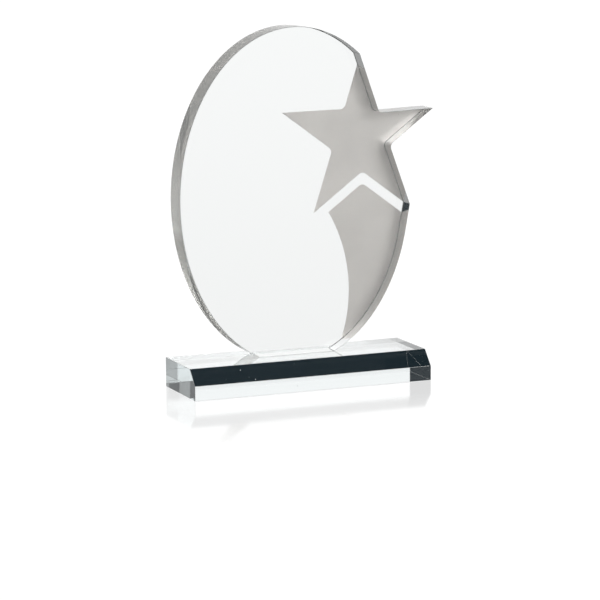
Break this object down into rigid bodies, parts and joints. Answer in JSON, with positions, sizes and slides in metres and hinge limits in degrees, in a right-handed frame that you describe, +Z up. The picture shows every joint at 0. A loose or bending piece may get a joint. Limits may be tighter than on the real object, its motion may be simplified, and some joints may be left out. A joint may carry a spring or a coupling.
{
  "type": "crystal award",
  "caption": "Free-standing crystal award: a clear bevelled base block carries an upright oval plate whose edge breaks into a star with a sweeping comet tail.",
  "frame": {"origin": "centre of the base block's underside", "axes": "+Z up; +X along the base, towards the star; +Y from the bevelled front towards the back"},
  "size_m": [0.1626, 0.048, 0.211],
  "materials": {
    "base_crystal": "polished optical crystal",
    "plate_crystal": "polished optical crystal",
    "clear_bond": "clear cured adhesive",
    "star_film": "satin silver",
    "tail_film": "satin silver"
  },
  "bodies": {
    "root": {"base_block": "base_crystal", "oval_plate": "plate_crystal", "foot_bond": "clear_bond", "star_inlay": "star_film", "tail_inlay": "tail_film"}
  },
  "joints": []
}
